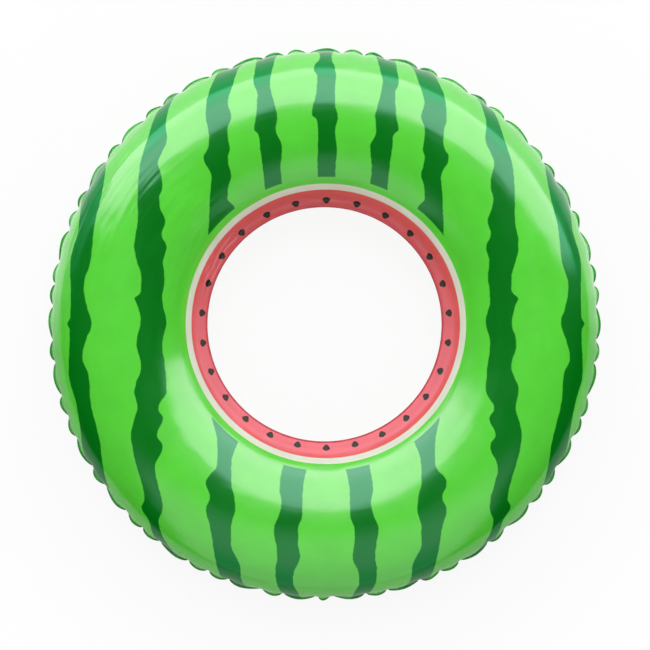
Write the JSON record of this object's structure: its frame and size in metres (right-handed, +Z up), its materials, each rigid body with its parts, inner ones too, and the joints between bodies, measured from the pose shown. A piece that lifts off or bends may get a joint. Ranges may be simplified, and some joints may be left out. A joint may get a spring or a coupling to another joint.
{
  "type": "swim ring",
  "caption": "Inflatable ring of welded PVC film worn round the waist to float, with a puckered outer seam and a push-in inflation valve on its underside.",
  "frame": {"origin": "on the floor below the middle of the hole, with the ring lying flat", "axes": "+Z up through the hole, out of the printed side that the picture shows; -Y towards the valve"},
  "size_m": [0.8051, 0.8051, 0.1793],
  "materials": {
    "printed_pvc_film": "calendered gloss film, printed on the back",
    "outer_weld_pvc": "two films fused by radio-frequency welding, fine knurl",
    "inner_weld_pvc": "two films fused by radio-frequency welding, fine knurl",
    "moulded_clear_pvc": "soft injection moulded",
    "thin_clear_pvc": "soft injection moulded, thin wall"
  },
  "bodies": {
    "ring": {"top_film": "printed_pvc_film", "bottom_film": "printed_pvc_film", "outer_weld_seam": "outer_weld_pvc", "inner_weld_seam": "inner_weld_pvc", "valve_base": "moulded_clear_pvc", "valve_web": "thin_clear_pvc"},
    "neck": {"valve_neck": "moulded_clear_pvc", "valve_strap": "moulded_clear_pvc"},
    "plug": {"valve_plug": "moulded_clear_pvc"},
    "flap": {"valve_flap": "thin_clear_pvc"}
  },
  "joints": [
    {"name": "neck_slide", "type": "slide", "parent": "ring", "child": "neck", "axis": [0, -0.7422, -0.6702], "range_m": [0, 0.0171], "deforming": ["valve_web"]},
    {"name": "plug_pull", "type": "slide", "parent": "neck", "child": "plug", "axis": [0, -0.7422, -0.6702], "range_m": [0, 0.012], "deforming": ["valve_strap"]},
    {"name": "flap_hinge", "type": "hinge", "parent": "neck", "child": "flap", "pos_m": [0, -0.36832, 0.04292], "axis": [1, 0, 0], "range_deg": [0, 60], "stiffness_Nm_per_rad": 0.00002, "springref_deg": -28.65}
  ]
}
